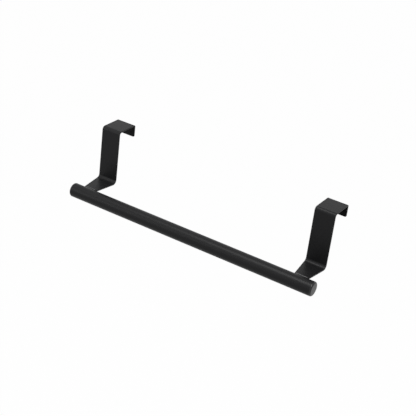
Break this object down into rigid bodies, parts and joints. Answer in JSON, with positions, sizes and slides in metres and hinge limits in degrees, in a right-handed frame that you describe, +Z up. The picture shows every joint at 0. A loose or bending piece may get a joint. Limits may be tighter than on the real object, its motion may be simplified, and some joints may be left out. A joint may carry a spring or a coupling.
{
  "type": "over-door towel rack",
  "caption": "Straight round towel bar welded to flat strip hooks that hang over the top edge of a cupboard door.",
  "frame": {"origin": "on the door's top front edge, halfway between the hooks: y = 0 is the back of the straps and z = 0 the underside of the hooks' top plates", "axes": "+X along the bar to the right as seen from the front, +Y from the bar through the door, +Z up"},
  "size_m": [0.2328, 0.0571, 0.0578],
  "materials": {
    "black_coated_steel": "satin black powder coat",
    "black_coated_weld": "satin black powder coat over a weld bead",
    "black_plastic": "satin black moulded plug"
  },
  "bodies": {
    "root": {"bar_tube": "black_coated_steel", "left_hook": "black_coated_steel", "right_hook": "black_coated_steel", "left_weld": "black_coated_weld", "right_weld": "black_coated_weld", "left_end_cap": "black_plastic", "right_end_cap": "black_plastic"}
  },
  "joints": []
}
